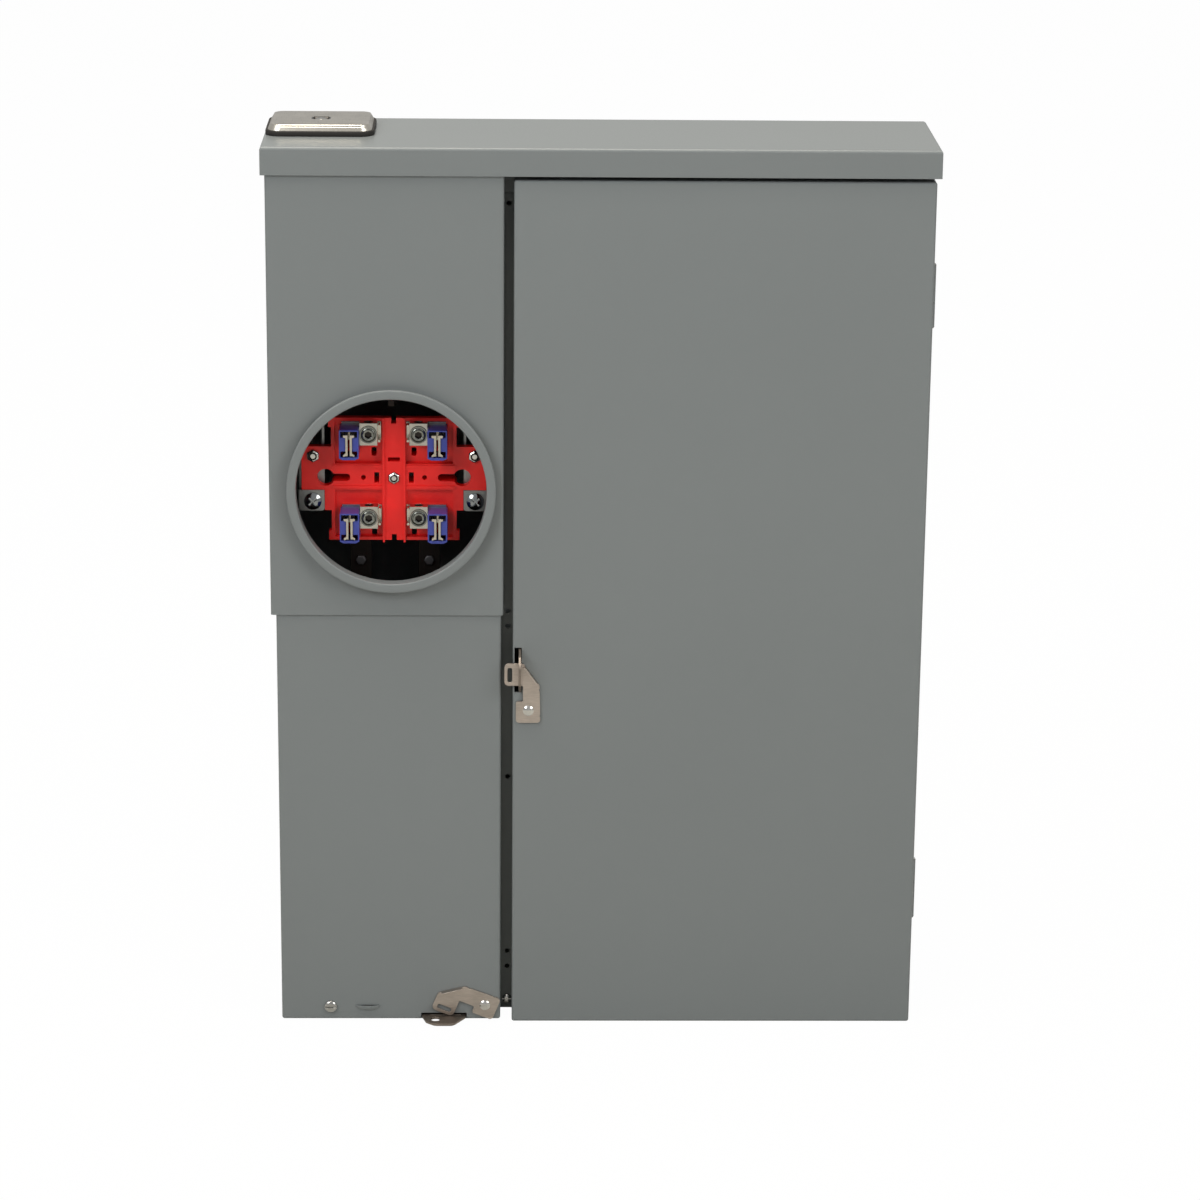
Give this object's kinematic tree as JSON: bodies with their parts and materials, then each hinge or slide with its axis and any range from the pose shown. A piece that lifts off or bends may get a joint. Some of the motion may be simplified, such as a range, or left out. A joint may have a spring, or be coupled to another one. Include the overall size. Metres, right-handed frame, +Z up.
{
  "type": "electric meter box",
  "caption": "Wall-mounted steel service box with a ring-type meter socket and pull section on the left, and a hinged door over a breaker panel on the right.",
  "frame": {"origin": "centre of the four wall holes, on the back of the box", "axes": "+X to the viewer's right, +Y into the wall, so the front faces -Y, +Z up"},
  "size_m": [0.5643, 0.1581, 0.7866],
  "materials": {
    "enamel": "satin",
    "inner_enamel": "satin",
    "stainless": "brushed",
    "gasket": "matt",
    "zinc": "zinc plated",
    "latch_steel": "zinc plated",
    "leg_steel": "satin",
    "red_moulding": "moulded",
    "blue_moulding": "moulded",
    "tinned_copper": "tin plated",
    "bare_aluminium": "satin",
    "dark_strap": "dull",
    "black_moulding": "moulded"
  },
  "bodies": {
    "enclosure": {"top_cap": "enamel", "centre_post": "enamel", "meter_cover": "enamel", "pull_cover": "enamel", "hinge_box_leaf_upper": "enamel", "hinge_box_leaf_lower": "enamel", "back_pan": "inner_enamel", "bottom_end": "inner_enamel", "door_header": "inner_enamel", "dead_front": "inner_enamel", "hub_plate": "stainless", "hub_gasket": "gasket", "cover_screws": "zinc", "hub_screw": "zinc", "hub_clamp_bar": "zinc", "block_screws": "zinc", "leg_screws": "zinc", "strap_bolts": "zinc", "dead_front_screws": "zinc", "hinge_pins": "zinc", "pull_latch_rivet": "zinc", "terminal_screws": "zinc", "panel_rail_top": "zinc", "panel_rail_bottom": "zinc", "interior_pan": "zinc", "bonding_strip": "zinc", "door_staple": "latch_steel", "cover_staple": "latch_steel", "socket_leg_left": "leg_steel", "socket_leg_right": "leg_steel", "meter_block": "red_moulding", "jaw_guide_upper_left": "blue_moulding", "jaw_guide_upper_right": "blue_moulding", "jaw_guide_lower_left": "blue_moulding", "jaw_guide_lower_right": "blue_moulding", "jaw_upper_left": "tinned_copper", "jaw_upper_right": "tinned_copper", "jaw_lower_left": "tinned_copper", "jaw_lower_right": "tinned_copper", "lug_upper_left": "bare_aluminium", "lug_upper_right": "bare_aluminium", "lug_lower_left": "bare_aluminium", "lug_lower_right": "bare_aluminium", "lug_set_screws": "bare_aluminium", "bus_bar_left": "bare_aluminium", "bus_bar_right": "bare_aluminium", "neutral_bar_left": "bare_aluminium", "neutral_bar_right": "bare_aluminium", "ground_bar": "bare_aluminium", "load_strap_left": "dark_strap", "load_strap_right": "dark_strap", "bus_base": "black_moulding", "main_breaker": "black_moulding"},
    "door": {"door_panel": "enamel", "hinge_door_leaf_upper": "enamel", "hinge_door_leaf_lower": "enamel", "door_latch_rivet": "zinc"},
    "door_latch": {"door_latch": "latch_steel"},
    "pull_latch": {"pull_latch": "latch_steel"},
    "main_handle": {"main_handle": "black_moulding"}
  },
  "joints": [
    {"name": "door_swing", "type": "hinge", "parent": "enclosure", "child": "door", "pos_m": [0.2801, -0.1089, 0], "axis": [0, 0, 1], "range_deg": [0, 120]},
    {"name": "door_latch_turn", "type": "hinge", "parent": "door", "child": "door_latch", "pos_m": [-0.0586, -0.1388, -0.0993], "axis": [0, 1, 0], "range_deg": [0, 90]},
    {"name": "pull_latch_turn", "type": "hinge", "parent": "enclosure", "child": "pull_latch", "pos_m": [-0.0956, -0.137, -0.3728], "axis": [0, 1, 0], "range_deg": [-22, 68]},
    {"name": "main_handle_throw", "type": "hinge", "parent": "enclosure", "child": "main_handle", "pos_m": [0.1018, -0.0955, -0.1716], "axis": [0, 0, 1], "range_deg": [0, 36]}
  ]
}
